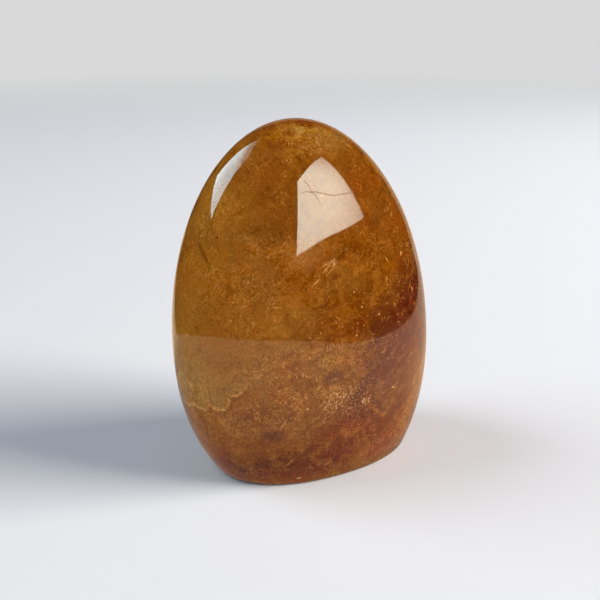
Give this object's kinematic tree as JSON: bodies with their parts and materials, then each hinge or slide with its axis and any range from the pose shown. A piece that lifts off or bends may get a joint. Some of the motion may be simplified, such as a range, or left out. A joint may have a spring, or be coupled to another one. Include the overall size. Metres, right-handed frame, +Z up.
{
  "type": "hematoid quartz freeform",
  "caption": "Polished standing freeform of honey-amber hematoid quartz: an egg-shaped stone, broader than deep, that leans slightly and rests on a flat cut base.",
  "frame": {"origin": "on the surface that the stone rests on, under the middle of its bounding box", "axes": "+Z up from the cut base to the crown, X across the broad face, -Y out of the fuller broad face"},
  "size_m": [0.0714, 0.0422, 0.09],
  "materials": {
    "hematoid_quartz": "glassy polish over milky, iron-stained amber quartz with reddish-brown patches"
  },
  "bodies": {
    "root": {"quartz_freeform": "hematoid_quartz"}
  },
  "joints": []
}
